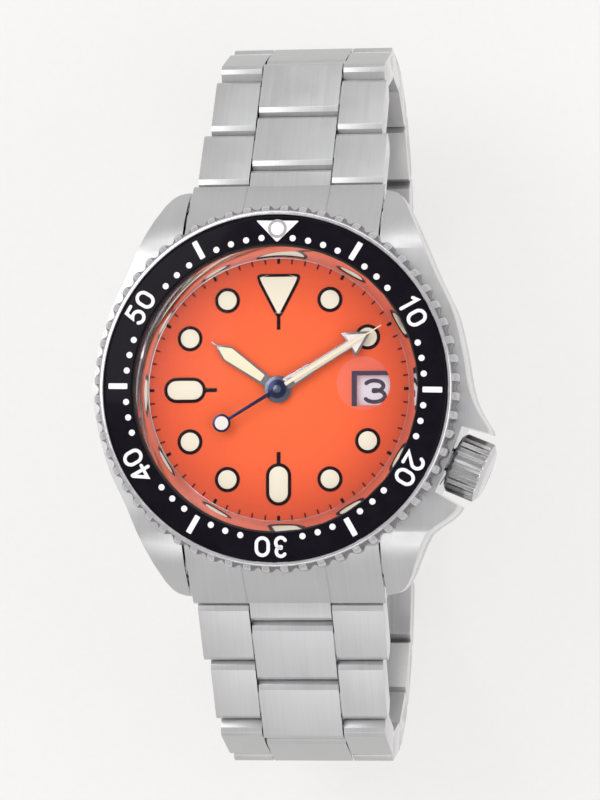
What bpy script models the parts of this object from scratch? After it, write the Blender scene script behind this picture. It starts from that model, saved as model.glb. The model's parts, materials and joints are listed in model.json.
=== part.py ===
"""Dive watch: steel case, coin-edge rotating bezel, automatic movement, three-row link bracelet.

The dial faces +Z and 12 o'clock is +Y. The origin is on the axis of the hands, at the outer face
of the case back, and the closed bracelet hangs below it and stands on the flat of its clasp.
Sizes are in millimetres, and MM turns them into Blender's metres.
"""

import math

import bmesh
import bpy
from mathutils import Matrix

MM = 0.001
WELD = 0.002  # welds the loose caps of a curve, in millimetres
SCREW_MERGE = 0.00001  # in metres
ROUND = 36  # steps of a large turned piece
FINE = 16  # steps of a small turned piece
PIN_SIDES = 8
TWIST = 7  # degrees that keep the corners of a rod off the corners of what it joins
JOIN = 0.3  # how far two shapes reach into each other before they are joined

# Heights above the outer face of the case back
CASE_BOTTOM = 1.3
DECK = 8.8
WALL_TOP = 12.05
BEZEL_BOTTOM = 9.2
BEZEL_SHELF = 12.45
CRYSTAL_BOTTOM = 11.6
CRYSTAL_TOP = 13.2
DIAL_BOTTOM = 9.25
DIAL_TOP = 9.65
SHELF = 9.7  # ledge in the case that carries the reflector ring
PLATE_BOTTOM = 6.6
PLATE_TOP = 8.5
STEM_HEIGHT = 5.7

# Radii
BEZEL_R = 20.2
SCALLOP_DEPTH = 0.42
SCALLOPS = 60
INSERT_R = 19.0
INSERT_HOLE_R = 15.85
CRYSTAL_R = 15.6
SEAT_R = 16.0  # bore around the crystal and its gasket
WALL_R = 16.8  # outer side of the wall that the bezel turns on
BORE_R = 15.2  # bore around the movement
DIAL_R = 15.0

# Date window and the magnifier over it
MAGNIFIER_SPOT = (9.6, 0.5)
WINDOW_R = 2.75
WINDOW_LEFT = 8.67
WINDOW_TOP = 1.48
WINDOW_BOTTOM = -1.8

# Crown, on an axis turned below 3 o'clock
CROWN_ANGLE = -22.5
CROWN_R = 3.4
CROWN_START = 20.5
CROWN_NOTCH_HALF = 3.9
CROWN_NOTCH_START = 20.2
CROWN_RECESS_R = 1.75
CROWN_RECESS_END = 22.4
STEM_R = 0.6

# Lugs and end links
LUG_GAP_HALF = 11.05
LUG_WALL_R = 19.2
END_LINK_HALF = 10.85
END_LINK_R = 19.45
SPRING_BAR_Y = 20.6
SPRING_BAR_Z = 2.3

# Bracelet: hinge places come from the first hinge, the pitch and each link's slope
FIRST_HINGE = (23.7, -0.76)
PITCH = 8.2
SLOPES = (36, 35, 71, 101, 124, 146, 165)
HALF_THICK = 1.6
CENTRE_HALF = 4.7
ROW_GAP = 0.13
PIN_R = 0.5
PIN_BORE_R = 0.62
WIDTH_FAR = 18.0
WIDTH_EXTRA = 2.9
WIDTH_FADE = 0.55

# Clasp, lying flat under the watch
CLASP_HALF = 9.0
CLASP_WALL = 0.7
CLASP_BOTTOM = -42.8
CLASP_FLOOR = -41.7
CLASP_RIM = -38.6
CLASP_FAR_Y = 16.8
BLADE_HALF = 6.2
BLADE_THICK = 0.7
OUTER_BLADE_Z = -41.05
INNER_BLADE_Z = -39.5
BLADE_HINGE = (-13.5, -40.3)
BLADE_HINGE_R = 1.1
COVER_HINGE = (14.6, -40.75)
COVER_HINGE_R = 0.75
FLAP_HINGE = (16.2, -42.2)
FLAP_HINGE_R = 0.55
FLAP_HALF = 7.1
FLAP_FREE_Y = 6.9
FLAP_THICK = 0.5
BUTTON_Y = -8.5
BUTTON_Z = -40.2
BUTTON_R = 1.1

# Movement arbors, as (x, y)
THIRD_ARBOR = (4.45 * math.cos(math.radians(120)), 4.45 * math.sin(math.radians(120)))
ESCAPE_ARBOR = (4.2 * math.cos(math.radians(200)), 4.2 * math.sin(math.radians(200)))
BARREL_ARBOR = (5.9 * math.cos(math.radians(45)), 5.9 * math.sin(math.radians(45)))
BALANCE_ARBOR = (-6.6, -6.4)
PALLET_REACH = 2.4  # from the escape arbor towards the balance

# Hands, at ten past ten, as clockwise angles from 12
HOUR_ANGLE = 305.5
MINUTE_ANGLE = 58.7
SECONDS_ANGLE = 59.0

FINISHES = {
    "brushed steel": ((0.62, 0.61, 0.62), 0.34, 1.0),
    "polished steel": ((0.72, 0.71, 0.72), 0.12, 1.0),
    "black glass": ((0.012, 0.01, 0.016), 0.12, 0.0),
    "crystal": ((0.85, 0.88, 0.9), 0.03, 0.0),
    "orange dial": ((0.85, 0.16, 0.045), 0.45, 0.0),
    "white date": ((0.85, 0.84, 0.88), 0.5, 0.0),
    "black rubber": ((0.02, 0.02, 0.02), 0.6, 0.0),
    "white plastic": ((0.8, 0.8, 0.78), 0.5, 0.0),
    "brass": ((0.75, 0.55, 0.25), 0.3, 1.0),
    "grey hand": ((0.35, 0.34, 0.36), 0.3, 1.0),
    "blued steel": ((0.05, 0.06, 0.2), 0.25, 1.0),
    "movement": ((0.6, 0.58, 0.53), 0.35, 1.0),
}


def clear_scene():
    for obj in list(bpy.data.objects):
        bpy.data.objects.remove(obj, do_unlink=True)


def new_collection(name):
    found = bpy.data.collections.new(name)
    bpy.context.scene.collection.children.link(found)
    return found


clear_scene()
PARTS = new_collection("dive_watch")
CUTTERS = new_collection("dive_watch_cutters")


# Places, outlines and meshes


def at(x, y, z):
    return Matrix.Translation((x * MM, y * MM, z * MM))


def about_z(degrees):
    return Matrix.Rotation(math.radians(degrees), 4, "Z")


def about_x(degrees):
    return Matrix.Rotation(math.radians(degrees), 4, "X")


def arc(centre, radius, start, end, steps):
    """Points on a circle, from one angle in degrees to another."""
    spread = [math.radians(start + (end - start) * i / steps) for i in range(steps + 1)]
    return [(centre[0] + radius * math.cos(a), centre[1] + radius * math.sin(a)) for a in spread]


def circle(radius, steps, centre=(0, 0)):
    return arc(centre, radius, 0, 360, steps)[:-1]


def mirrored(points):
    """The points with their mirror image in Y, as one round trip."""
    return points + [(-x, y) for x, y in reversed(points)]


def through(points, parts):
    """A smooth curve through the points (Catmull-Rom), with parts steps between neighbours."""
    ends = [points[0]] + list(points) + [points[-1]]
    found = []
    for i in range(1, len(ends) - 2):
        p0, p1, p2, p3 = ends[i - 1 : i + 3]
        for step in range(parts):
            t = step / parts
            weights = (
                -0.5 * t + t * t - 0.5 * t**3,
                1 - 2.5 * t * t + 1.5 * t**3,
                0.5 * t + 2 * t * t - 1.5 * t**3,
                -0.5 * t * t + 0.5 * t**3,
            )
            spot = [sum(w * p[k] for w, p in zip(weights, (p0, p1, p2, p3))) for k in (0, 1)]
            found.append(tuple(spot))
    return found + [points[-1]]


def toothed(teeth, tip, depth):
    """A gear outline with one point on the tip circle and one on the root circle per tooth."""
    found = []
    for i in range(2 * teeth):
        radius = tip if i % 2 == 0 else tip - depth
        angle = math.pi * i / teeth
        found.append((radius * math.cos(angle), radius * math.sin(angle)))
    return found


def scalloped(count, outer, depth):
    """A coin-edge outline: a flat crest and a hollow for each scallop."""
    found = []
    for i in range(count):
        for share, radius in ((-0.27, outer), (0.27, outer), (0.5, outer - depth)):
            angle = 2 * math.pi * (i + share) / count
            found.append((radius * math.cos(angle), radius * math.sin(angle)))
    return found


def tidy(mesh):
    """Welds loose caps and turns the faces outwards."""
    work = bmesh.new()
    work.from_mesh(mesh)
    bmesh.ops.remove_doubles(work, verts=work.verts, dist=WELD)
    bmesh.ops.recalc_face_normals(work, faces=work.faces)
    work.to_mesh(mesh)
    work.free()


def curve_to_mesh(curve):
    holder = bpy.data.objects.new(curve.name, curve)
    bpy.context.scene.collection.objects.link(holder)
    seen = holder.evaluated_get(bpy.context.evaluated_depsgraph_get())
    mesh = bpy.data.meshes.new_from_object(seen)
    bpy.data.objects.remove(holder)
    tidy(mesh)
    return mesh


def add_spline(curve, points, closed):
    spline = curve.splines.new("POLY")
    spline.points.add(len(points) - 1)
    for spot, place in zip(spline.points, points):
        spot.co = (*place, 0, 1) if len(place) == 2 else (*place, 1)
    spline.use_cyclic_u = closed


def plate(outlines, low, high):
    """A flat plate with holes: the first outline is its edge, and the others are its holes."""
    curve = bpy.data.curves.new("plate", "CURVE")
    curve.dimensions = "2D"
    curve.fill_mode = "BOTH"
    curve.extrude = (high - low) / 2
    for points in outlines:
        add_spline(curve, points, True)
    mesh = curve_to_mesh(curve)
    mesh.transform(Matrix.Translation((0, 0, (low + high) / 2)))
    mesh.transform(Matrix.Scale(MM, 4))
    return mesh


# Local axes of a side-view outline: first number along +Y, second along +Z, thickness along +X
SIDE_VIEW = Matrix(((0, 0, 1, 0), (1, 0, 0, 0), (0, 1, 0, 0), (0, 0, 0, 1)))


def side_plate(points, low_x, high_x):
    """A plate seen from the side, with its outline in (y, z) and its thickness in x."""
    mesh = plate([points], low_x, high_x)
    mesh.transform(SIDE_VIEW)
    return mesh


def wire(points, radius):
    curve = bpy.data.curves.new("wire", "CURVE")
    curve.dimensions = "3D"
    curve.bevel_depth = radius
    curve.bevel_resolution = 0
    curve.use_fill_caps = True
    add_spline(curve, points, False)
    mesh = curve_to_mesh(curve)
    mesh.transform(Matrix.Scale(MM, 4))
    return mesh


def box(low, high):
    work = bmesh.new()
    bmesh.ops.create_cube(work, size=1.0)
    for vert in work.verts:
        for k in range(3):
            vert.co[k] = MM * ((low[k] + high[k]) / 2 + (high[k] - low[k]) * vert.co[k])
    mesh = bpy.data.meshes.new("box")
    work.to_mesh(mesh)
    work.free()
    return mesh


def rod(radius, low, high, along="Z", centre=(0, 0), sides=PIN_SIDES):
    """A cylinder along Z or X, centred on the other two axes in their own order."""
    work = bmesh.new()
    bmesh.ops.create_cone(
        work,
        cap_ends=True,
        segments=sides,
        radius1=radius * MM,
        radius2=radius * MM,
        depth=(high - low) * MM,
    )
    mesh = bpy.data.meshes.new("rod")
    work.to_mesh(mesh)
    work.free()
    mesh.transform(about_z(TWIST))
    mesh.transform(at(*centre, (low + high) / 2))
    if along == "X":
        mesh.transform(SIDE_VIEW)
    return mesh


def turned(profile, ring=False):
    """The profile of a turned piece, as (radius, height) down its outer side."""
    points = [(r * MM, 0, z * MM) for r, z in profile]
    edges = [(i, i + 1) for i in range(len(points) - 1)]
    if ring:
        edges.append((len(points) - 1, 0))
    mesh = bpy.data.meshes.new("turned")
    mesh.from_pydata(points, edges, [])
    return mesh


def ring_profile(inner, outer, low, high):
    return [(inner, high), (outer, high), (outer, low), (inner, low)]


def disc_profile(radius, low, high, bevel=0.0):
    if not bevel:
        return [(0, high), (radius, high), (radius, low), (0, low)]
    return [
        (0, high),
        (radius - bevel, high),
        (radius, high - bevel),
        (radius, low + bevel),
        (radius - bevel, low),
        (0, low),
    ]


# Objects


def paint(obj, finish):
    colour, roughness, metallic = FINISHES[finish]
    material = bpy.data.materials.new(obj.name)
    material.use_nodes = True
    shader = material.node_tree.nodes["Principled BSDF"]
    shader.inputs["Base Color"].default_value = (*colour, 1)
    shader.inputs["Roughness"].default_value = roughness
    shader.inputs["Metallic"].default_value = metallic
    # The material sits on the object, because links of the same width share a mesh.
    if not obj.data.materials:
        obj.data.materials.append(None)
    obj.material_slots[0].link = "OBJECT"
    obj.material_slots[0].material = material


def shade(obj):
    """Round sides smooth, edges sharp."""
    if obj.data.polygons:
        obj.data.shade_smooth()
        obj.data.set_sharp_from_angle(angle=math.radians(35))


def screw(obj, steps):
    modifier = obj.modifiers.new("turn", "SCREW")
    modifier.axis = "Z"
    modifier.angle = 2 * math.pi
    modifier.steps = steps
    modifier.render_steps = steps
    modifier.use_merge_vertices = True
    modifier.merge_threshold = SCREW_MERGE
    modifier.use_smooth_shade = True


def piece(name, mesh, finish, frame=None, steps=0):
    """A named sub-part. frame places its own axes, and steps turns a profile."""
    obj = bpy.data.objects.new(name, mesh)
    PARTS.objects.link(obj)
    obj.matrix_world = frame or Matrix.Identity(4)
    if steps:
        screw(obj, steps)
    shade(obj)
    paint(obj, finish)
    return obj


def change(obj, operation, mesh, steps=0):
    """Joins a mesh to the object, cuts it away or keeps what is inside it, in the object's axes."""
    helper = bpy.data.objects.new(f"{obj.name}_{operation.lower()}", mesh)
    CUTTERS.objects.link(helper)
    helper.parent = obj
    helper.hide_render = True
    helper.display_type = "WIRE"
    if steps:
        screw(helper, steps)
    modifier = obj.modifiers.new(operation.lower(), "BOOLEAN")
    modifier.operation = operation
    modifier.solver = "EXACT"
    modifier.object = helper
    return obj


def join(obj, mesh, steps=0):
    return change(obj, "UNION", mesh, steps)


def cut(obj, mesh, steps=0):
    return change(obj, "DIFFERENCE", mesh, steps)


def keep_inside(obj, mesh, steps=0):
    return change(obj, "INTERSECT", mesh, steps)


# Case


def mirror_y(points):
    return [(x, -y) for x, y in reversed(points)]


def crown_spot(along, across):
    """A place in plan, from its distance out along the crown's axis and across it."""
    turn = math.radians(CROWN_ANGLE)
    x = along * math.cos(turn) - across * math.sin(turn)
    y = along * math.sin(turn) + across * math.cos(turn)
    return (x, y)


LUG_FLANK = ((11.0, 22.6), (12.3, 22.3), (13.5, 21.0), (15.4, 17.0), (17.2, 12.7), (18.9, 9.2))
PLAIN_FLANK = (*LUG_FLANK, (20.15, 5.2), (20.9, 1.2), (21.0, 0.0))
GUARD_FLANK = (*LUG_FLANK, (19.75, 6.4), (20.35, 3.4), (20.7, 1.0), (21.2, -1.0), (21.9, -2.6))
UPPER_GUARD = ((23.0, -4.4), (23.06, -4.9))
LOWER_GUARD = ((19.6, -12.8), (19.3, -13.4), (18.2, -14.4))
LOWER_FLANK = (
    (16.2, -15.8),
    (15.1, -18.1),
    (14.2, -20.3),
    (13.3, -21.7),
    (12.3, -22.3),
    (11.0, -22.6),
)


def case_outline():
    plain = [(-x, y) for x, y in through(PLAIN_FLANK, 2)]
    left = plain[:-1] + mirror_y(plain)
    upper = through((*GUARD_FLANK, *UPPER_GUARD), 2)
    notch = [crown_spot(CROWN_NOTCH_START, CROWN_NOTCH_HALF)]
    notch.append(crown_spot(CROWN_NOTCH_START, -CROWN_NOTCH_HALF))
    lower = through((*LOWER_GUARD, *LOWER_FLANK), 2)
    return left + list(reversed(upper + notch + lower))


CASE_SIDE = (
    (0.0, DECK),
    (15.5, DECK),
    (17.2, 8.1),
    (19.0, 6.7),
    (20.9, 4.6),
    (22.6, 2.3),
    (22.7, 1.4),
    (21.5, 0.9),
    (18.0, 1.2),
    (14.0, CASE_BOTTOM),
)


def slot_between_lugs(side):
    half_angle = math.degrees(math.asin(LUG_GAP_HALF / LUG_WALL_R))
    inner = arc((0, 0), LUG_WALL_R, 90 - half_angle, 90 + half_angle, 12)
    outline = inner + [(-LUG_GAP_HALF, 26), (LUG_GAP_HALF, 26)]
    mesh = plate([outline], -1, 12)
    mesh.transform(about_z(0 if side > 0 else 180))
    return mesh


def along_crown(mesh):
    """Turns a mesh made along Z so that it lies along the crown's axis."""
    mesh.transform(crown_frame(0))
    return mesh


def crown_frame(along):
    x, y = crown_spot(along, 0)
    lie = Matrix.Rotation(math.radians(90), 4, "Y")
    return at(x, y, STEM_HEIGHT) @ about_z(CROWN_ANGLE) @ lie


def mid_case():
    body = piece("mid_case", plate([case_outline()], 0, 12), "brushed steel")
    half = list(CASE_SIDE)
    profile = half + [(-y, z) for y, z in reversed(half[1:])]
    keep_inside(body, side_plate(profile, -26, 26))
    join(body, turned(ring_profile(BORE_R - 0.2, WALL_R, DECK - 0.6, WALL_TOP), True), ROUND)
    for side in (1, -1):
        cut(body, slot_between_lugs(side))
        hole = rod(0.6, -12.2, 12.2, "X", (side * SPRING_BAR_Y, SPRING_BAR_Z))
        cut(body, hole)
    cavity = [(0, 14), (SEAT_R, 14), (SEAT_R, SHELF), (BORE_R, SHELF), (BORE_R, 0.5), (0, 0.5)]
    cut(body, turned(cavity), ROUND)
    cut(body, along_crown(rod(1.55, 14, 22, sides=FINE)))


def date_window():
    """The date's opening, square at the left and following the magnifier's edge at the right."""
    x, y = MAGNIFIER_SPOT
    start = math.degrees(math.asin((WINDOW_TOP - y) / WINDOW_R))
    end = math.degrees(math.asin((WINDOW_BOTTOM - y) / WINDOW_R))
    edge = arc((x, y), WINDOW_R, start, end, 6)
    return edge + [(WINDOW_LEFT, WINDOW_BOTTOM), (WINDOW_LEFT, WINDOW_TOP)]


def case_shell():
    back = piece(
        "case_back",
        turned(
            [
                (0, 1.0),
                (14.0, 1.0),
                (14.0, 2.0),
                (15.1, 2.0),
                (15.1, 1.0),
                (17.2, 1.0),
                (17.5, 0.7),
                (17.2, 0.3),
                (16.2, 0.0),
                (0, 0.0),
            ]
        ),
        "brushed steel",
        steps=ROUND,
    )
    for i in range(6):
        slot = box((14.6, -1.1, -0.5), (18.0, 1.1, 0.55))
        slot.transform(about_z(30 + 60 * i))
        cut(back, slot)
    rings = (
        ("case_back_gasket", 15.9, 16.8, 1.04, 1.17, "black rubber"),
        ("crystal_gasket", 15.67, 15.93, 11.45, 12.2, "black rubber"),
        ("bezel_gasket", 16.87, 17.13, 10.2, 10.8, "black rubber"),
        ("movement_ring", 14.0, 15.1, 4.1, 8.55, "white plastic"),
    )
    for name, inner, outer, low, high, finish in rings:
        made = piece(name, turned(ring_profile(inner, outer, low, high), True), finish, steps=ROUND)
        if name == "movement_ring":
            cut(made, along_crown(rod(0.9, 12, 17, sides=PIN_SIDES)))
    piece(
        "crystal",
        turned(disc_profile(CRYSTAL_R, CRYSTAL_BOTTOM, CRYSTAL_TOP, 0.25)),
        "crystal",
        steps=ROUND,
    )
    reflector = [(15.55, 11.35), (15.9, 11.35), (15.9, 9.78), (14.8, 9.78)]
    piece("reflector_ring", turned(reflector, True), "polished steel", steps=ROUND)
    dome = [(0, 11.56), (2.95, 11.56), (2.8, 11.42), (2.1, 11.24), (1.2, 11.14), (0, 11.1)]
    piece("date_magnifier", turned(dome), "crystal", at(*MAGNIFIER_SPOT, 0), FINE)
    face = turned(ring_profile(0.8, DIAL_R, DIAL_BOTTOM, DIAL_TOP), True)
    dial = piece("dial", face, "orange dial", steps=ROUND)
    cut(dial, plate([date_window()], DIAL_BOTTOM - 1, DIAL_TOP + 1))
    spring = arc((0, 0), 18.5, 20, 340, 30) + list(reversed(arc((0, 0), 17.7, 20, 340, 30)))
    piece("bezel_click_spring", plate([spring], 8.9, 9.08), "polished steel")


def bezel():
    profile = [
        (19.05, 12.85),
        (19.35, 12.85),
        (19.6, 12.6),
        (20.4, 11.8),
        (20.4, 9.75),
        (19.9, BEZEL_BOTTOM),
        (17.2, BEZEL_BOTTOM),
        (17.2, 12.2),
        (15.95, 12.2),
        (15.95, BEZEL_SHELF),
        (19.05, BEZEL_SHELF),
    ]
    ring = piece("bezel", turned(profile, True), "brushed steel", steps=SCALLOPS)
    keep_inside(ring, plate([scalloped(SCALLOPS, BEZEL_R, SCALLOP_DEPTH)], 8, 14))
    insert = [
        (INSERT_HOLE_R, 12.98),
        (18.6, 12.72),
        (INSERT_R, 12.62),
        (INSERT_R, 12.5),
        (INSERT_HOLE_R, 12.5),
    ]
    piece("bezel_insert", turned(insert, True), "black glass", steps=ROUND)


def crown():
    body = [
        (0, 4.0),
        (2.7, 4.0),
        (3.3, 3.6),
        (3.5, 3.4),
        (3.5, 0.5),
        (3.0, 0.0),
        (CROWN_RECESS_R, 0.0),
        (CROWN_RECESS_R, CROWN_RECESS_END - CROWN_START),
        (STEM_R + 0.08, CROWN_RECESS_END - CROWN_START),
        (STEM_R + 0.08, 2.7),
        (0, 2.7),
    ]
    knob = piece("crown", turned(body), "brushed steel", crown_frame(CROWN_START), FINE)
    keep_inside(knob, plate([toothed(24, CROWN_R, 0.22)], -1, 5))
    stem_start = 6.2
    stem = rod(STEM_R, 0, CROWN_START + 2.5 - stem_start)
    piece("winding_stem", stem, "polished steel", crown_frame(stem_start))
    gasket = turned(ring_profile(0.75, 1.6, 0, 0.6), True)
    piece("crown_gasket", gasket, "black rubber", crown_frame(21.5), FINE)
    tube = turned(ring_profile(0.72, 1.4, 0, 5.7), True)
    piece("crown_tube", tube, "polished steel", crown_frame(15.6), FINE)
    teeth = plate([toothed(14, 0.85, 0.15)], 0, 1.6)
    clutch = piece("clutch_wheel", teeth, "brass", crown_frame(7.2))
    cut(clutch, rod(STEM_R + 0.06, -1, 3))


# Bracelet


def link_width(number):
    return WIDTH_FAR + WIDTH_EXTRA * WIDTH_FADE ** (number - 1)


def hinge_spots():
    """The hinges down the 12 o'clock side, as (y, z)."""
    spots = [FIRST_HINGE]
    for slope in SLOPES:
        turn = math.radians(slope)
        y, z = spots[-1]
        spots.append((y + PITCH * math.cos(turn), z - PITCH * math.sin(turn)))
    return spots


# Link outlines in side view, from the near hinge: along the link, then outwards
OUTER_ROW = (
    (-1.25, 0.8),
    (-1.0, 1.3),
    (-0.45, HALF_THICK),
    (PITCH - 2.3, HALF_THICK),
    (PITCH - 1.75, 1.3),
    (PITCH - 1.5, 0.8),
    (PITCH - 1.5, -0.6),
    (PITCH - 2.3, -HALF_THICK),
    (-0.35, -HALF_THICK),
    (-1.25, -0.2),
)
CENTRE_ROW = (
    (1.5, 0.8),
    (1.75, 1.3),
    (2.3, HALF_THICK),
    (PITCH + 0.45, HALF_THICK),
    (PITCH + 1.0, 1.3),
    (PITCH + 1.25, 0.8),
    (PITCH + 1.25, 0.0),
    (PITCH + 0.3, -HALF_THICK),
    (2.6, -HALF_THICK),
    (1.5, 0.2),
)
WEB = ((2.9, 1.2), (PITCH - 2.4, 1.2), (PITCH - 2.9, -1.2), (3.2, -1.2))


def end_frame(side, spot, slope):
    """Axes at a hinge, with +Y along the link and +Z outwards. side is 1 for 12 o'clock, -1 for 6."""
    turn = about_z(0 if side > 0 else 180)
    return turn @ at(0, *spot) @ about_x(-slope)


def bracelet_link(name, frame, width):
    half = width / 2
    centre = side_plate(CENTRE_ROW, ROW_GAP - CENTRE_HALF, CENTRE_HALF - ROW_GAP)
    link = piece(name, centre, "brushed steel", frame)
    cut(link, rod(PIN_BORE_R, -CENTRE_HALF - 1, CENTRE_HALF + 1, "X", (PITCH, 0)))
    for low, high in ((-half, -CENTRE_HALF), (CENTRE_HALF, half)):
        join(link, side_plate(OUTER_ROW, low, high))
    join(link, side_plate(WEB, -CENTRE_HALF - JOIN, CENTRE_HALF + JOIN))
    join(link, rod(PIN_R, -CENTRE_HALF - 1, CENTRE_HALF + 1, "X"))


def bracelet():
    spots = hinge_spots()
    for side, label in ((1, "12"), (-1, "6")):
        for number, slope in enumerate(SLOPES, 1):
            frame = end_frame(side, spots[number - 1], slope)
            bracelet_link(f"link_{label}_side_{number}", frame, link_width(number))
    return spots


END_LINK_SIDE = (
    (15.5, 8.35),
    (17.2, 7.9),
    (19.0, 6.4),
    (21.0, 4.1),
    (23.2, 1.7),
    (23.4, 1.2),
    (22.5, 0.1),
    (22.1, -0.08),
    (20.3, 0.6),
    (18.0, 1.0),
    (15.5, 1.0),
)
# Everything above the end link's outer face, lowered by the depth of the two grooves in it
GROOVE = (
    (15.5, 8.2),
    (17.2, 7.75),
    (19.0, 6.25),
    (21.0, 3.95),
    (23.3, 1.45),
    (25.0, 1.45),
    (25.0, 10.0),
    (15.5, 10.0),
)
GROOVE_HALF = 0.08
END_TONGUE = (
    (-3.0, 1.4),
    (0.45, HALF_THICK),
    (1.0, 1.3),
    (1.25, 0.8),
    (1.25, 0),
    (0.3, -HALF_THICK),
    (-1.6, -1.6),
    (-3.4, 0.2),
)


def end_links():
    for side, label in ((1, "12"), (-1, "6")):
        frame = about_z(0 if side > 0 else 180)
        body = side_plate(END_LINK_SIDE, -END_LINK_HALF, END_LINK_HALF)
        link = piece(f"end_link_{label}", body, "brushed steel", frame)
        tongue = side_plate(END_TONGUE, ROW_GAP - CENTRE_HALF, CENTRE_HALF - ROW_GAP)
        tongue.transform(at(0, *FIRST_HINGE) @ about_x(-SLOPES[0]))
        join(link, tongue)
        for middle in (-CENTRE_HALF, CENTRE_HALF):
            cut(link, side_plate(GROOVE, middle - GROOVE_HALF, middle + GROOVE_HALF))
        cut(link, rod(END_LINK_R, -5, 12, sides=2 * ROUND))
        cut(link, rod(1.0, -12, 12, "X", (SPRING_BAR_Y, SPRING_BAR_Z), FINE))
        cut(link, rod(PIN_BORE_R, -6, 6, "X", FIRST_HINGE))
        place = frame @ at(0, SPRING_BAR_Y, SPRING_BAR_Z)
        bar = piece(f"spring_bar_{label}", rod(0.85, -10.6, 10.6, "X"), "polished steel", place)
        join(bar, rod(0.45, -12.0, 12.0, "X"))


# Clasp


def knuckle(spot, radius, low_x, high_x):
    return rod(radius, low_x, high_x, "X", spot, FINE)


def clasp_cover(last_hinge):
    hinge_y, hinge_z = -last_hinge[0], last_hinge[1]
    near = hinge_y - 1.25
    wall = (
        (near, hinge_z + 0.6),
        (near, hinge_z - 0.9),
        (near + 1.4, CLASP_BOTTOM + 0.2),
        (near + 1.9, CLASP_BOTTOM),
        (CLASP_FAR_Y - 0.3, CLASP_BOTTOM),
        (CLASP_FAR_Y, CLASP_BOTTOM + 0.3),
        (CLASP_FAR_Y, CLASP_RIM - 0.9),
        (CLASP_FAR_Y - 0.9, CLASP_RIM),
        (hinge_y + 1.6, CLASP_RIM),
    )
    frame = at(0, hinge_y, hinge_z)
    home = frame.inverted()

    def placed(mesh):
        mesh.transform(home)
        return mesh

    inner = CLASP_HALF - CLASP_WALL
    first_wall = placed(side_plate(wall, inner, CLASP_HALF))
    cover = piece("clasp_cover", first_wall, "brushed steel", frame)
    join(cover, placed(side_plate(wall, -CLASP_HALF, -inner)))
    # The floor stops short of the flap's hinge, and is bent up where the last link joins it.
    floor_start = hinge_y + 1.7
    plate_low = (-inner - JOIN, floor_start, CLASP_BOTTOM + 0.02)
    join(cover, placed(box(plate_low, (inner + JOIN, FLAP_HINGE[0] - 0.9, CLASP_FLOOR))))
    for side in (1, -1):
        reach = sorted((side * CENTRE_HALF, side * (inner + JOIN)))
        ear = (
            (near + 0.05, hinge_z + 0.5),
            (near + 0.05, hinge_z - 0.85),
            (near + 1.45, CLASP_BOTTOM + 0.3),
            (hinge_y + 2.6, CLASP_BOTTOM + 0.3),
            (hinge_y + 2.6, hinge_z + 0.5),
        )
        join(cover, placed(side_plate(ear, *reach)))
        lug = sorted((side * (BLADE_HALF + 0.3), side * (inner + JOIN)))
        lug_low = (lug[0], COVER_HINGE[0] - 0.9, CLASP_FLOOR - 0.3)
        lug_high = (lug[1], COVER_HINGE[0] + 0.9, COVER_HINGE[1] + 0.7)
        join(cover, placed(box(lug_low, lug_high)))
        hole = sorted((side * (inner - 0.6), side * (CLASP_HALF + 1)))
        cut(cover, placed(rod(0.5, *hole, "X", FLAP_HINGE)))
        cut(cover, placed(rod(BUTTON_R + 0.12, *hole, "X", (BUTTON_Y, BUTTON_Z), FINE)))
    join(cover, placed(rod(PIN_R, -CENTRE_HALF - 1, CENTRE_HALF + 1, "X", (hinge_y, hinge_z))))
    join(cover, placed(rod(0.4, -BLADE_HALF - 1, BLADE_HALF + 1, "X", COVER_HINGE)))
    recess_half = FLAP_HALF + 0.3
    recess_low = (-recess_half, FLAP_FREE_Y - 0.3, CLASP_BOTTOM - 1)
    cut(cover, placed(box(recess_low, (recess_half, CLASP_FAR_Y, CLASP_BOTTOM + FLAP_THICK + 0.1))))


def outer_blade():
    low, high = OUTER_BLADE_Z - BLADE_THICK / 2, OUTER_BLADE_Z + BLADE_THICK / 2
    frame = at(0, *COVER_HINGE)
    home = frame.inverted()
    near_y = BLADE_HINGE[0] + 1.3
    body = box((-BLADE_HALF, near_y, low), (BLADE_HALF, COVER_HINGE[0], high))
    body.transform(home)
    blade = piece("outer_blade", body, "polished steel", frame)
    meshes = [knuckle(COVER_HINGE, COVER_HINGE_R, -BLADE_HALF, BLADE_HALF)]
    for side in (1, -1):
        reach = sorted((side * 3.2, side * BLADE_HALF))
        meshes.append(knuckle(BLADE_HINGE, BLADE_HINGE_R, *reach))
        meshes.append(box((reach[0], BLADE_HINGE[0], low + 0.03), (reach[1], near_y + 0.5, high - 0.03)))
    meshes.append(rod(0.4, -4, 4, "X", BLADE_HINGE))
    for mesh in meshes:
        mesh.transform(home)
        join(blade, mesh)
    bore = rod(0.52, -BLADE_HALF - 1, BLADE_HALF + 1, "X", COVER_HINGE)
    bore.transform(home)
    cut(blade, bore)
    window = box((-2.6, -6, low - 1), (2.6, 8, high + 1))
    window.transform(home)
    cut(blade, window)


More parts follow.
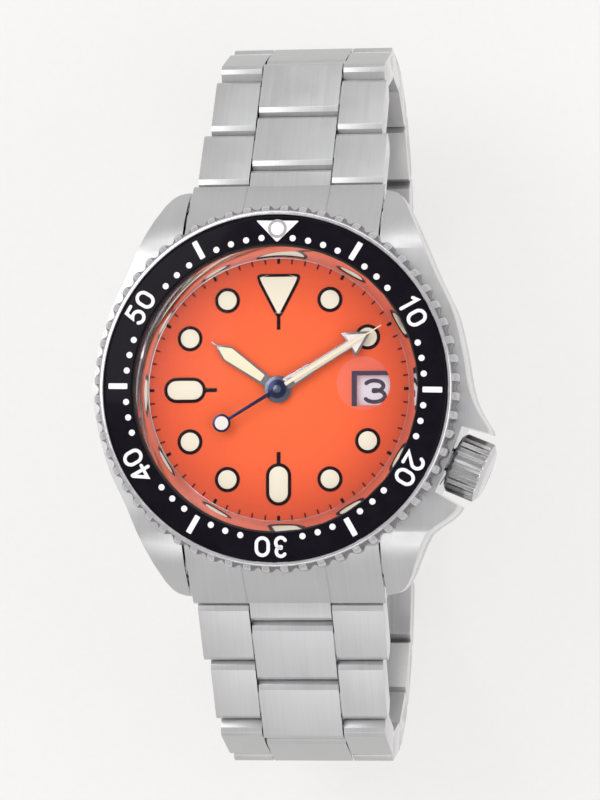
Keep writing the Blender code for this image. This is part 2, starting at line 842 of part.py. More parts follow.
def inner_blade(last_hinge):
    low, high = INNER_BLADE_Z - BLADE_THICK / 2, INNER_BLADE_Z + BLADE_THICK / 2
    frame = at(0, *BLADE_HINGE)
    home = frame.inverted()
    near_y = BLADE_HINGE[0] + 1.3
    body = box((-BLADE_HALF, near_y, low), (BLADE_HALF, 16.9, high))
    body.transform(home)
    blade = piece("inner_blade", body, "polished steel", frame)
    meshes = [
        knuckle(BLADE_HINGE, BLADE_HINGE_R, -3.0, 3.0),
        box((-3.0, BLADE_HINGE[0], low + 0.03), (3.0, near_y + 0.5, high - 0.03)),
    ]
    for side in (1, -1):
        reach = sorted((side * 5.0, side * 7.0))
        meshes.append(box((reach[0], 15.6, low - 0.4), (reach[1], last_hinge[0] + 0.9, high + 0.3)))
    for mesh in meshes:
        mesh.transform(home)
        join(blade, mesh)
    bore = rod(0.52, -4, 4, "X", BLADE_HINGE)
    bore.transform(home)
    cut(blade, bore)
    window = box((-2.6, -6, low - 1), (2.6, 8, high + 1))
    window.transform(home)
    cut(blade, window)


def safety_flap():
    frame = at(0, *FLAP_HINGE)
    home = frame.inverted()
    low = CLASP_BOTTOM
    body = box((-FLAP_HALF, FLAP_FREE_Y, low), (FLAP_HALF, FLAP_HINGE[0], low + FLAP_THICK))
    body.transform(home)
    flap = piece("safety_flap", body, "brushed steel", frame)
    join(flap, rod(FLAP_HINGE_R, -FLAP_HALF + 0.05, FLAP_HALF - 0.05, "X", sides=FINE))
    join(flap, rod(0.38, -CLASP_HALF + 0.2, CLASP_HALF - 0.2, "X"))


def push_buttons():
    for side, label in ((1, "right"), (-1, "left")):
        reach = sorted((0.5 * side, -1.5 * side))
        frame = at(side * CLASP_HALF, BUTTON_Y, BUTTON_Z)
        button = rod(BUTTON_R, *reach, "X", sides=FINE)
        piece(f"push_button_{label}", button, "polished steel", frame)


# Movement and hands


def movement_frame():
    disc = turned(disc_profile(13.6, PLATE_BOTTOM, PLATE_TOP, 0.2))
    main = piece("main_plate", disc, "movement", steps=ROUND)
    cut(main, rod(1.3, 6, 9, sides=FINE))
    cut(main, rod(5.0, 6, 9, centre=BARREL_ARBOR, sides=2 * FINE))
    bridge = piece("train_bridge", plate([circle(13.3, ROUND)], 4.1, 4.7), "movement")
    cut(bridge, rod(6.2, 3, 6, centre=(-8.0, -6.8), sides=2 * FINE))
    for angle in (-60, 30, 150):
        foot = (12 * math.cos(math.radians(angle)), 12 * math.sin(math.radians(angle)))
        join(bridge, rod(0.8, 4.3, 6.3, centre=foot))
    x, y = BALANCE_ARBOR
    arm = arc((x, y), 1.3, -50, 50, 6) + arc((x - 4.4, y), 0.8, 130, 230, 6)
    cock = piece("balance_cock", plate([arm], 3.95, 4.35), "movement")
    join(cock, rod(0.65, 4.1, 6.3, centre=(x - 4.4, y)))
    jewel = piece("rotor_bearing", rod(0.9, 2.2, 4.0, sides=FINE), "polished steel")
    join(jewel, rod(1.6, 3.5, 3.98, sides=FINE))
    spiral = []
    for i in range(43):
        turn = 2 * math.pi * i / 12
        radius = 0.8 + 0.45 * turn / (2 * math.pi)
        spiral.append((radius * math.cos(turn), radius * math.sin(turn), 4.62))
    piece("hairspring", wire(spiral, 0.05), "blued steel", at(x, y, 0))


def wheel(name, spot, parts, bore):
    """A wheel on its arbor. Each part is (outline or radius, low, high), and the first is its rim."""
    meshes = []
    for shape, low, high in parts:
        meshes.append(plate([shape], low, high) if isinstance(shape, list) else rod(shape, low, high))
    meshes[1].transform(about_z(TWIST / 2))
    made = piece(name, meshes[0], "brass", at(*spot, 0))
    for mesh in meshes[1:]:
        join(made, mesh)
    if bore:
        cut(made, rod(*bore))
    return made


# Each wheel: its place, its parts as (outline or radius, low, high), and a bore through it
GEAR_TRAIN = {
    "fourth_wheel": (
        (0, 0),
        [(toothed(36, 3.68, 0.2), 4.95, 5.15), (toothed(8, 0.56, 0.16), 5.05, 5.7), (0.12, 4.5, 10.62)],
        None,
    ),
    "third_wheel": (
        THIRD_ARBOR,
        [(toothed(32, 3.8, 0.2), 5.4, 5.6), (toothed(8, 0.52, 0.14), 5.5, 6.4), (0.15, 4.85, 6.5)],
        None,
    ),
    "centre_wheel": (
        (0, 0),
        [(toothed(30, 3.82, 0.22), 6.1, 6.3), (toothed(10, 1.0, 0.25), 6.85, 7.35), (0.3, 6.0, 10.55)],
        (0.2, 5, 12),
    ),
    "escape_wheel": (
        ESCAPE_ARBOR,
        [(toothed(15, 1.9, 0.45), 5.8, 5.95), (toothed(6, 0.44, 0.14), 4.85, 5.25), (0.15, 4.78, 6.4)],
        None,
    ),
    "mainspring_barrel": (
        BARREL_ARBOR,
        [(toothed(36, 4.8, 0.3), 6.8, 7.4), (4.4, 7.3, 8.25), (0.6, 6.68, 8.58)],
        None,
    ),
    "hour_wheel": (
        (0, 0),
        [(toothed(16, 2.4, 0.22), 8.65, 8.8), (0.56, 8.62, 10.15)],
        (0.38, 8, 12),
    ),
}


def gear_train():
    for name, (spot, parts, bore) in GEAR_TRAIN.items():
        wheel(name, spot, parts, bore)
    rim_plate = plate([circle(3.5, 28), circle(2.95, 28)], 4.9, 5.2)
    rim = piece("balance_wheel", rim_plate, "brass", at(*BALANCE_ARBOR, 0))
    join(rim, box((-3.2, -0.3, 4.98), (3.2, 0.3, 5.12)))
    join(rim, rod(0.25, 4.45, 6.35))
    ring = plate([circle(12.7, ROUND), circle(8.2, ROUND)], 8.68, 9.08)
    piece("date_ring", ring, "white date")


def pallet_fork():
    toward = (BALANCE_ARBOR[0] - ESCAPE_ARBOR[0], BALANCE_ARBOR[1] - ESCAPE_ARBOR[1])
    heading = math.degrees(math.atan2(toward[1], toward[0]))
    turn = math.radians(heading)
    x = ESCAPE_ARBOR[0] + PALLET_REACH * math.cos(turn)
    y = ESCAPE_ARBOR[1] + PALLET_REACH * math.sin(turn)
    half = [
        (-0.3, 1.3),
        (-0.75, 1.45),
        (-0.75, 1.75),
        (0.3, 1.6),
        (0.4, 0.15),
        (1.5, 0.15),
        (2.1, 0.42),
        (2.1, 0.16),
        (1.75, 0.1),
    ]
    outline = half + [(u, -v) for u, v in reversed(half)]
    place = at(x, y, 0) @ about_z(heading)
    fork = piece("pallet_fork", plate([outline], 5.8, 5.95), "polished steel", place)
    join(fork, rod(0.2, 5.5, 6.35))


def rotor():
    outline = arc((0, 0), 14.2, 180, 360, 14) + [(2.4, 0)] + arc((0, 0), 2.4, 0, 180, 10)[1:]
    weight = piece("rotor", plate([outline, circle(1.1, 16)], 2.5, 2.9), "movement")
    rim = arc((0, 0), 14.1, 183, 357, 13) + list(reversed(arc((0, 0), 11.8, 183, 357, 13)))
    join(weight, plate([rim], 2.3, 3.75))


HOUR_HAND = ((0.5, 0.6), (0.62, 1.2), (0.88, 6.9), (0.16, 8.25), (0.1, 9.1))
MINUTE_HAND = (
    (0.6, 0.55),
    (0.7, 1.57),
    (0.63, 4.2),
    (0.52, 4.4),
    (0.52, 9.3),
    (1.58, 9.15),
    (0.08, 12.0),
)
SECONDS_HAND = ((0.15, -6.6), (0.2, 0.0), (0.08, 13.4))


def hands():
    shapes = (
        ("hour_hand", HOUR_HAND, 10.0, 1.0, 0.64, HOUR_ANGLE, "grey hand"),
        ("minute_hand", MINUTE_HAND, 10.34, 1.0, 0.35, MINUTE_ANGLE, "grey hand"),
        ("seconds_hand", SECONDS_HAND, 10.7, 1.03, 0, SECONDS_ANGLE, "blued steel"),
    )
    for name, half, low, hub, hole, angle, finish in shapes:
        hand = piece(name, plate([mirrored(list(half))], low + 0.02, low + 0.12), finish, about_z(-angle))
        join(hand, rod(hub, low, low + 0.14, sides=FINE))
        if hole:
            cut(hand, rod(hole, low - 1, low + 1, sides=PIN_SIDES))
        else:
            join(hand, rod(1.0, low + 0.01, low + 0.13, centre=(0, -7.2), sides=FINE))


def build():
    mid_case()
    case_shell()
    bezel()
    crown()
    end_links()
    spots = bracelet()
    clasp_cover(spots[-1])
    outer_blade()
    inner_blade(spots[-1])
    safety_flap()
    push_buttons()
    movement_frame()
    gear_train()
    pallet_fork()
    rotor()
    hands()


build()
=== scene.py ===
"""Looks of the dive watch: finished steel, printed dial, marked bezel, glass and studio.

Sizes are in millimetres in the frame's own axes: the hands turn about x = y = 0, the dial faces
+Z and 12 o'clock is +Y. MM turns them into Blender's metres.
"""

import json
import math

import bmesh
import bpy
from mathutils import Matrix, Vector

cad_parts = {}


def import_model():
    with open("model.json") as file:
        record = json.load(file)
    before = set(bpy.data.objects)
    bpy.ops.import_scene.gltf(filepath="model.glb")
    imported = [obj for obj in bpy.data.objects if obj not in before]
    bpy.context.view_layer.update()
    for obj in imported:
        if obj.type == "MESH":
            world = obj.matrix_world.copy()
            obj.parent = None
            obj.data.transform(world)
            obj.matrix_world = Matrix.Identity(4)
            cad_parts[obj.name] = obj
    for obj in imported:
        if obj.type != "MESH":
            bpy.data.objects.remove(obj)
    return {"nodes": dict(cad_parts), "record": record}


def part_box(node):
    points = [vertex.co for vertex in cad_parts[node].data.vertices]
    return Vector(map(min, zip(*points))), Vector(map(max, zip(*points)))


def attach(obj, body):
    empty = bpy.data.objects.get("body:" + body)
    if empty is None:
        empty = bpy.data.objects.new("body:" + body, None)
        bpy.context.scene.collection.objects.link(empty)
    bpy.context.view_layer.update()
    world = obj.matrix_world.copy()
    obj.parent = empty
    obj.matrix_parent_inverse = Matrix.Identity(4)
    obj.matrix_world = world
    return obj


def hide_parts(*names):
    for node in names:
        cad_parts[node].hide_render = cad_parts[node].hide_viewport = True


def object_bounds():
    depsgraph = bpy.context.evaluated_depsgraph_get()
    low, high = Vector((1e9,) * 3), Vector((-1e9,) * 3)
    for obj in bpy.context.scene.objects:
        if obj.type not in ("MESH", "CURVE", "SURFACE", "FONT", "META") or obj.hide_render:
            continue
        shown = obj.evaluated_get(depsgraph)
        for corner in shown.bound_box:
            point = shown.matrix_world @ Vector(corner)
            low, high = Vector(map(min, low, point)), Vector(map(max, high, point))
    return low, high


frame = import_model()
CAD_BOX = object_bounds()

MM = 0.001
WELD = 0.002  # joins the loose caps of a filled curve, in millimetres
PRINT = 0.012  # thickness of printed marks
PRINT_LIFT = 0.004  # clear gap under printed marks


def top_of(node):
    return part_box(node)[1][2] / MM


def bottom_of(node):
    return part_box(node)[0][2] / MM


# Heights from the frame
DIAL_Z = top_of("dial")
CRYSTAL_TOP = top_of("crystal")
CRYSTAL_LOW = bottom_of("crystal")
DATE_Z = top_of("date_ring")

# Radii
BEZEL_R = 20.2
RIM_IN = 19.05
INSERT_R = 19.0
INSERT_HOLE_R = 15.85
CRYSTAL_R = 15.6
DIAL_R = 15.0
DIAL_SEEN_R = 14.8
MIRROR_R = 15.88

# Date window and the magnifier over it
MAGNIFIER_SPOT = (9.6, 0.5)
MAGNIFIER_R = 2.95
WINDOW_R = 2.75
WINDOW_LEFT = 8.67
WINDOW_TOP = 1.48
WINDOW_BOTTOM = -1.8
BAR_WIDE = 0.5

# Hands, as clockwise angles from 12
HOUR_ANGLE = 305.5
MINUTE_ANGLE = 58.7
SECONDS_ANGLE = 59.0


# Outlines


def arc(centre, radius, start, end, steps):
    """Points on a circle, from one angle in degrees to another."""
    spread = [math.radians(start + (end - start) * i / steps) for i in range(steps + 1)]
    return [(centre[0] + radius * math.cos(a), centre[1] + radius * math.sin(a)) for a in spread]


def circle(radius, steps=48, centre=(0, 0)):
    return arc(centre, radius, 0, 360, steps)[:-1]


def mirrored(points):
    """The points with their mirror image in Y, as one round trip."""
    return list(points) + [(-x, y) for x, y in reversed(points)]


def rounded(points, radius, steps=5):
    """The closed outline with its corners rounded by quadratic curves that start radius away."""
    found = []
    for i, corner in enumerate(points):
        here = Vector(corner)
        before = Vector(points[i - 1]) - here
        after = Vector(points[(i + 1) % len(points)]) - here
        near = min(radius, before.length * 0.48)
        far = min(radius, after.length * 0.48)
        start = here + before.normalized() * near
        end = here + after.normalized() * far
        for step in range(steps + 1):
            t = step / steps
            found.append(tuple(start * (1 - t) ** 2 + here * 2 * t * (1 - t) + end * t * t))
    return found


def grown(points, distance):
    """The closed outline moved outwards by a distance, for a frame round it."""
    turn = sum(p[0] * q[1] - q[0] * p[1] for p, q in zip(points, points[1:] + points[:1]))
    sign = 1 if turn > 0 else -1
    found = []
    for i, corner in enumerate(points):
        here = Vector(corner)
        into = (here - Vector(points[i - 1])).normalized()
        away = (Vector(points[(i + 1) % len(points)]) - here).normalized()
        normals = [Vector((d.y, -d.x)) * sign for d in (into, away)]
        middle = (normals[0] + normals[1]).normalized()
        stretch = distance / max(0.35, middle.dot(normals[0]))
        found.append(tuple(here + middle * stretch))
    return found


def turned_by(points, degrees):
    """Points turned clockwise about the dial's centre."""
    a = math.radians(-degrees)
    cos, sin = math.cos(a), math.sin(a)
    return [(x * cos - y * sin, x * sin + y * cos) for x, y in points]


def box_outline(left, right, low, high):
    return [(left, low), (right, low), (right, high), (left, high)]


def stroke(path, width, steps=6):
    """The outline of a round-ended pen stroke along an open path."""
    half = width / 2
    spots = [Vector(p) for p in path]
    left, right = [], []
    for i, here in enumerate(spots):
        before = spots[max(i - 1, 0)]
        after = spots[min(i + 1, len(spots) - 1)]
        into = (here - before).normalized() if i else (after - here).normalized()
        away = (after - here).normalized() if i < len(spots) - 1 else into
        normals = [Vector((-d.y, d.x)) for d in (into, away)]
        middle = (normals[0] + normals[1]).normalized()
        reach = half / max(0.5, middle.dot(normals[0]))
        left.append(tuple(here + middle * reach))
        right.append(tuple(here - middle * reach))
    first, last = spots[1] - spots[0], spots[-1] - spots[-2]
    end = math.degrees(math.atan2(last.y, last.x))
    start = math.degrees(math.atan2(first.y, first.x))
    cap_end = arc(spots[-1], half, end + 90, end - 90, steps)
    cap_start = arc(spots[0], half, start - 90, start - 270, steps)
    return left[:-1] + cap_end + list(reversed(right[1:-1])) + cap_start[:-1]


# Meshes


def tidy(mesh):
    """Welds loose caps and turns the faces outwards."""
    work = bmesh.new()
    work.from_mesh(mesh)
    bmesh.ops.remove_doubles(work, verts=work.verts, dist=WELD)
    bmesh.ops.recalc_face_normals(work, faces=work.faces)
    work.to_mesh(mesh)
    work.free()


def plate(outlines, low, high, bevel=0.0):
    """Flat plates with holes: outlines inside another are its holes. bevel rounds their edges."""
    curve = bpy.data.curves.new("plate", "CURVE")
    curve.dimensions = "2D"
    curve.fill_mode = "BOTH"
    curve.extrude = (high - low) / 2 - bevel
    curve.bevel_depth = bevel
    curve.offset = -bevel
    curve.bevel_resolution = 1
    for points in outlines:
        spline = curve.splines.new("POLY")
        spline.points.add(len(points) - 1)
        for spot, place in zip(spline.points, points):
            spot.co = (*place, 0, 1)
        spline.use_cyclic_u = True
    holder = bpy.data.objects.new("plate", curve)
    bpy.context.scene.collection.objects.link(holder)
    seen = holder.evaluated_get(bpy.context.evaluated_depsgraph_get())
    mesh = bpy.data.meshes.new_from_object(seen)
    bpy.data.objects.remove(holder)
    bpy.data.curves.remove(curve)
    tidy(mesh)
    mesh.transform(Matrix.Translation((0, 0, (low + high) / 2)))
    mesh.transform(Matrix.Scale(MM, 4))
    return mesh


def turned(profile, steps=192, closed=True, radius_of=None):
    """A turned shape from (radius, height) points. radius_of may change a radius round the turn."""
    work = bmesh.new()
    columns = []
    for i in range(steps):
        angle = 2 * math.pi * i / steps
        column = []
        for r, z in profile:
            reach = radius_of(r, i / steps) if radius_of else r
            place = (reach * math.cos(angle) * MM, reach * math.sin(angle) * MM, z * MM)
            column.append(work.verts.new(place))
        columns.append(column)
    count = len(profile)
    for i in range(steps):
        here, there = columns[i], columns[(i + 1) % steps]
        for k in range(count if closed else count - 1):
            n = (k + 1) % count
            work.faces.new((here[k], there[k], there[n], here[n]))
    bmesh.ops.remove_doubles(work, verts=work.verts, dist=1e-7)
    bmesh.ops.recalc_face_normals(work, faces=work.faces)
    mesh = bpy.data.meshes.new("turned")
    work.to_mesh(mesh)
    work.free()
    return mesh


def joined(meshes):
    """One mesh from several, with each one's faces keeping the material number of its place."""
    work = bmesh.new()
    for number, mesh in enumerate(meshes):
        start = len(work.faces)
        work.from_mesh(mesh)
        work.faces.ensure_lookup_table()
        for face in work.faces[start:]:
            face.material_index = number
    merged = bpy.data.meshes.new("joined")
    work.to_mesh(merged)
    work.free()
    return merged


def merged(meshes):
    """One mesh from several that share a material."""
    whole = joined(meshes)
    for polygon in whole.polygons:
        polygon.material_index = 0
    return whole


def at_angle(mesh, degrees):
    """The mesh turned clockwise about the hands' axis."""
    mesh.transform(Matrix.Rotation(math.radians(-degrees), 4, "Z"))
    return mesh


def moved(points, x, y):
    return [(px + x, py + y) for px, py in points]


def add(name, mesh, body, slot, *materials, angle=35):
    """A visible piece that rides on a body, with edges sharper than the angle kept crisp."""
    obj = bpy.data.objects.new(name, mesh)
    bpy.context.scene.collection.objects.link(obj)
    for material in materials:
        mesh.materials.append(material)
    mesh.shade_smooth()
    mesh.set_sharp_from_angle(angle=math.radians(angle))
    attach(obj, body)
    return obj


# Materials


class Shader:
    """A Principled material, with short calls for its nodes. Patterns use object coordinates."""

    def __init__(self, name, colour, roughness, metallic=0.0, **sockets):
        self.material = bpy.data.materials.new(name)
        self.material.use_nodes = True
        self.nodes = self.material.node_tree.nodes
        self.links = self.material.node_tree.links
        self.main = self.nodes["Principled BSDF"]
        self.set("Base Color", (*colour, 1))
        self.set("Roughness", roughness)
        self.set("Metallic", metallic)
        for socket, value in sockets.items():
            self.set(socket.replace("_", " "), value)
        self.place = self.nodes.new("ShaderNodeTexCoord").outputs["Object"]

    def set(self, socket, value):
        self.main.inputs[socket].default_value = value

    def drive(self, socket, output):
        self.links.new(output, self.main.inputs[socket])

    def node(self, kind, **inputs):
        made = self.nodes.new(kind)
        for socket, value in inputs.items():
            self.feed(made.inputs[socket.replace("_", " ")], value)
        return made

    def feed(self, socket, value):
        if isinstance(value, bpy.types.NodeSocket):
            self.links.new(value, socket)
        else:
            socket.default_value = value

    def stretched(self, scale):
        """Object coordinates multiplied per axis, in cycles per millimetre."""
        made = self.node("ShaderNodeMapping", Vector=self.place, Scale=[s / MM for s in scale])
        return made.outputs["Vector"]

    def noise(self, scale, detail=2.0, vector=None):
        place = vector or self.stretched((scale,) * 3)
        made = self.node("ShaderNodeTexNoise", Vector=place, Scale=1.0, Detail=detail)
        return made.outputs["Fac"]

    def spread(self, value, low, high, start=0.3, end=0.7):
        """Maps a pattern from start..end to low..high."""
        ends = {"From_Min": start, "From_Max": end, "To_Min": low, "To_Max": high}
        return self.node("ShaderNodeMapRange", Value=value, **ends).outputs["Result"]

    def ramp(self, value, *stops):
        made = self.node("ShaderNodeValToRGB", Fac=value)
        found = made.color_ramp.elements
        while len(found) < len(stops):
            found.new(0.5)
        for element, (position, colour) in zip(found, stops):
            element.position = position
            element.color = (*colour, 1)
        return made.outputs["Color"]

    def math(self, operation, first, second=0.0):
        made = self.nodes.new("ShaderNodeMath")
        made.operation = operation
        self.feed(made.inputs[0], first)
        self.feed(made.inputs[1], second)
        return made.outputs["Value"]

    def bump(self, height, strength, depth):
        """Relief from a height pattern, depth in millimetres."""
        made = self.node("ShaderNodeBump", Height=height, Strength=strength, Distance=depth * MM)
        self.drive("Normal", made.outputs["Normal"])

    def radius(self):
        """Distance from the hands' axis, in millimetres."""
        x, y, _ = self.node("ShaderNodeSeparateXYZ", Vector=self.place).outputs
        square = self.math("ADD", self.math("MULTIPLY", x, x), self.math("MULTIPLY", y, y))
        return self.math("MULTIPLY", self.math("SQRT", square), 1 / MM)


STEEL = (0.53, 0.53, 0.532)
STEEL_DARK = (0.465, 0.465, 0.467)


def brushed(name, across=(14.0, 0.1, 0.1), light=STEEL, dark=STEEL_DARK, rough=(0.36, 0.46)):
    """Steel with fine lines. across is the pattern's cycles per millimetre along X, Y and Z."""
    made = Shader(name, light, rough[0], 1.0)
    lines = made.noise(1, 3.0, made.stretched(across))
    patches = made.noise(0.22, 2.0)
    shade_of = made.math("ADD", made.spread(lines, 0, 0.75), made.spread(patches, 0, 0.25))
    made.drive("Base Color", made.ramp(shade_of, (0.0, dark), (1.0, light)))
    fine_rough = made.spread(lines, rough[0], rough[1])
    made.drive("Roughness", made.math("ADD", fine_rough, made.spread(patches, -0.04, 0.05)))
    made.bump(lines, 0.2, 0.003)
    return made.material


def polished(name, light=(0.66, 0.65, 0.665), rough=(0.07, 0.16)):
    """Polished steel with faint wear and scratches."""
    made = Shader(name, light, rough[0], 1.0)
    cloud = made.noise(0.5, 3.0)
    scratches = made.noise(1, 2.0, made.stretched((6.0, 1.1, 2.0)))
    worn = tuple(0.88 * c for c in light)
    wear = made.math("MULTIPLY", cloud, scratches)
    made.drive("Base Color", made.ramp(made.spread(cloud, 0, 1), (0.0, worn), (1.0, light)))
    made.drive("Roughness", made.spread(wear, rough[0], rough[1], 0.12, 0.4))
    made.bump(scratches, 0.08, 0.003)
    return made.material


def printed(name, colour, rough=0.42, grain=14.0, variation=0.12, **sockets):
    """Paint, ink or lume with a fine grain."""
    made = Shader(name, colour, rough, **sockets)
    speckle = made.noise(grain, 3.0)
    darker = tuple(c * (1 - variation) for c in colour)
    made.drive("Base Color", made.ramp(made.spread(speckle, 0, 1), (0.0, darker), (1.0, colour)))
    made.drive("Roughness", made.spread(speckle, rough - 0.06, rough + 0.08))
    made.bump(speckle, 0.12, 0.004)
    return made.material


def dial_paint():
    """Orange lacquer, a little darker towards the rim, over a fine grain."""
    gloss = {"Coat_Weight": 0.15, "Coat_Roughness": 0.2, "Specular_IOR_Level": 0.2}
    made = Shader("dial_lacquer", (1.0, 0.16, 0.055), 0.5, **gloss)
    share = made.math("DIVIDE", made.radius(), DIAL_SEEN_R)
    grain = made.spread(made.noise(22.0, 2.0), -0.02, 0.02)
    fade = made.ramp(
        made.math("ADD", share, grain),
        (0.0, (1.0, 0.15, 0.04)),
        (0.55, (0.95, 0.13, 0.036)),
        (0.85, (0.82, 0.1, 0.032)),
        (1.0, (0.7, 0.085, 0.032)),
    )
    made.drive("Base Color", fade)
    made.drive("Roughness", made.spread(made.noise(9.0), 0.34, 0.44))
    made.bump(made.noise(30.0), 0.08, 0.003)
    return made.material


def glass(name, alpha, tint=(0.01, 0.01, 0.012)):
    """Clear sapphire seen mostly by its reflections, with faint marks in its gloss. A pale tint
    lays a faint veil over what is under it, a painted reflection.
    """
    made = Shader(name, tint, 0.02, IOR=1.6, Alpha=alpha)
    made.drive("Roughness", made.spread(made.noise(0.35, 3.0), 0.012, 0.04))
    return made.material


def insert_gloss():
    """Near-black lacquer with faint clouds."""
    gloss = {"Specular_IOR_Level": 0.03, "Coat_Weight": 0.04, "Coat_Roughness": 0.05}
    made = Shader("insert_gloss", (0.0075, 0.006, 0.0095), 0.16, **gloss)
    cloud = made.spread(made.noise(0.6, 3.0), 0, 1)
    shades = ((0.0, (0.0045, 0.0035, 0.0065)), (1.0, (0.007, 0.0055, 0.0095)))
    made.drive("Base Color", made.ramp(cloud, *shades))
    made.drive("Roughness", made.spread(made.noise(18.0, 2.0), 0.13, 0.21))
    made.bump(made.noise(25.0, 2.0), 0.05, 0.002)
    return made.material


MATERIALS = {
    "brushed": brushed("steel_brushed"),
    "brushed_bezel": brushed(
        "steel_bezel", (1.4, 1.4, 8.0), (0.6, 0.59, 0.6), (0.5, 0.49, 0.5), (0.16, 0.28)
    ),
    "brushed_crown": brushed(
        "steel_crown", (2.0, 5.0, 5.0), (0.4, 0.4, 0.4), (0.3, 0.3, 0.3), (0.25, 0.35)
    ),
    # Steel darkened as painted shade, for the hollows of the bezel's scallops.
    "bezel_hollow_painted_shade": polished("steel_hollow_painted_shade", (0.2, 0.2, 0.205), (0.2, 0.3)),
    "brushed_back": brushed("steel_back", (3.0, 3.0, 3.0)),
    "polished": polished("steel_polished"),
    "mirror": polished("steel_mirror", (0.82, 0.81, 0.82), (0.03, 0.06)),
    "insert": insert_gloss(),
    "insert_white": printed("insert_mark", (0.8, 0.79, 0.8)),
    "insert_grey": printed("insert_pip_frame", (0.36, 0.35, 0.37), 0.3),
    "dial": dial_paint(),
    "dial_ink": printed("dial_ink", (0.014, 0.003, 0.006), 0.35, Specular_IOR_Level=0.1),
    "dial_red": printed("dial_minute_ink", (0.17, 0.014, 0.012), 0.4, Specular_IOR_Level=0.1),
    "lume": printed("lume_cream", (0.92, 0.83, 0.66), 0.5, 20.0, 0.1),
    "lume_hand": printed("lume_hand", (0.95, 0.85, 0.6), 0.5, 20.0, 0.1),
    "lume_pale": printed("lume_pale", (0.93, 0.83, 0.76), 0.5, 20.0, 0.1),
    "hand_steel": polished("hand_steel", (0.3, 0.29, 0.32), (0.16, 0.28)),
    "hub": polished("hub_steel", (0.15, 0.17, 0.22), (0.2, 0.3)),
    "blue_steel": polished("blued_steel", (0.035, 0.04, 0.1), (0.16, 0.26)),
    "date_white": printed("date_card", (0.86, 0.82, 0.9), 0.5),
    "date_ink": printed("date_ink", (0.004, 0.004, 0.03), 0.4, Specular_IOR_Level=0.1),
    # Black rubber for the gaskets, also used as painted shade: the crystal gasket, the mirror
    # ring's flat top and the bezel's shelf under the insert are black to read as shade.
    "rubber": printed("black_rubber_and_painted_shade", (0.015, 0.015, 0.016), 0.6),
    "plastic": printed("plastic_white", (0.72, 0.71, 0.68), 0.5),
    "brass": brushed(
        "brass_wheel", (5.0, 5.0, 1.0), (0.72, 0.5, 0.2), (0.6, 0.4, 0.15), (0.2, 0.35)
    ),
    "movement": brushed(
        "movement_plate", (3.0, 0.3, 3.0), (0.62, 0.6, 0.55), (0.5, 0.48, 0.44), (0.25, 0.4)
    ),
    "crystal": glass("sapphire", 0.05),
    # Pale pink tint on the magnifier: a painted reflection, a faint pale veil over the date for the
    # light its coating reflects.
    "lens": glass("sapphire_lens_painted_reflection", 0.035, (1.0, 0.75, 0.9)),
}


# Steel pieces that keep the frame's shape, with rounded edges and two finishes


def refined(node, body, slot, material, bevel, polished_when=None):
    """A copy of a node with rounded edges. polished_when picks the faces that are polished."""
    source = frame["nodes"][node]
    mesh = source.data.copy()
    mesh.materials.clear()
    work = bmesh.new()
    work.from_mesh(mesh)
    bmesh.ops.remove_doubles(work, verts=work.verts, dist=WELD * MM)
    bmesh.ops.dissolve_limit(work, angle_limit=math.radians(2), verts=work.verts, edges=work.edges)
    work.normal_update()
    solid = [e for e in work.edges if len(e.link_faces) == 2]
    sharp = [e for e in solid if e.calc_face_angle(0) > math.radians(24)]
    bmesh.ops.bevel(
        work,
        geom=sharp,
        offset=bevel * MM,
        offset_type="OFFSET",
        segments=2,
        profile=0.6,
        affect="EDGES",
        clamp_overlap=True,
    )
    work.normal_update()
    for face in work.faces:
        face.material_index = 1 if polished_when and polished_when(face) else 0
    work.to_mesh(mesh)
    work.free()
    finishes = (MATERIALS[material], MATERIALS["polished"])
    piece = add(f"{node}_finished", mesh, body, slot, *finishes, angle=28)
    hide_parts(node)


def faces_sideways(face):
    return abs(face.normal.x) > 0.9


def body_of_node(node):
    bodies = frame["record"]["behaviour"]["bodies"]
    return next(body for body, nodes in bodies.items() if node in nodes)


LINKS = [f"link_{side}_side_{number}" for side in ("12", "6") for number in range(1, 8)]


def steel_pieces():
    for node in LINKS:
        refined(node, body_of_node(node), "bracelet_steel", "brushed", 0.2, faces_sideways)
    for node in ("end_link_12", "end_link_6"):
        refined(node, "case", "bracelet_steel", "brushed", 0.12, faces_sideways)
    for node in ("clasp_cover", "safety_flap"):
        refined(node, body_of_node(node), "bracelet_steel", "brushed", 0.1, faces_sideways)
    for node in ("outer_blade", "inner_blade"):
        refined(node, body_of_node(node), "polished_steel", "polished", 0.06)
    for node in ("push_button_left", "push_button_right"):
        refined(node, body_of_node(node), "polished_steel", "polished", 0.1)
    refined("mid_case", "case", "case_steel", "brushed", 0.22, case_flank)
    refined("case_back", "case", "case_steel", "brushed_back", 0.1)


def case_flank(face):
    return abs(face.normal.z) < 0.35


# Bezel and its insert

SCALLOPS = 60
SCALLOP_DEPTH = 0.5
SCALLOP_HALF = 0.33  # share of the pitch, on each side of a hollow's middle
SCALLOP_IN = 19.55
SCALLOP_FADE = 0.35


def scallop(r, share):
    """Hollows cut into the bezel's side, fading out towards its chamfer."""
    if r < SCALLOP_IN:
        return r
    phase = (share * SCALLOPS + 0.5) % 1 - 0.5
    hollow = max(0.0, 1 - (phase / SCALLOP_HALF) ** 2)
    fade = min(1.0, (r - SCALLOP_IN) / SCALLOP_FADE)
    return r - SCALLOP_DEPTH * hollow * fade


def bezel_finish(polygon):
    """Material 0 on the crests, 1 in the hollows (steel darkened as painted shade) and 2 on the
    shelf under the insert (black, painted shade).
    """
    x, y, z = polygon.center / MM
    r = math.hypot(x, y)
    if r < RIM_IN - 0.1 and z > 12.1:
        return 2
    phase = (math.atan2(y, x) / (2 * math.pi) * SCALLOPS + 0.5) % 1 - 0.5
    return 1 if r > 19.5 and abs(phase) < 0.27 else 0


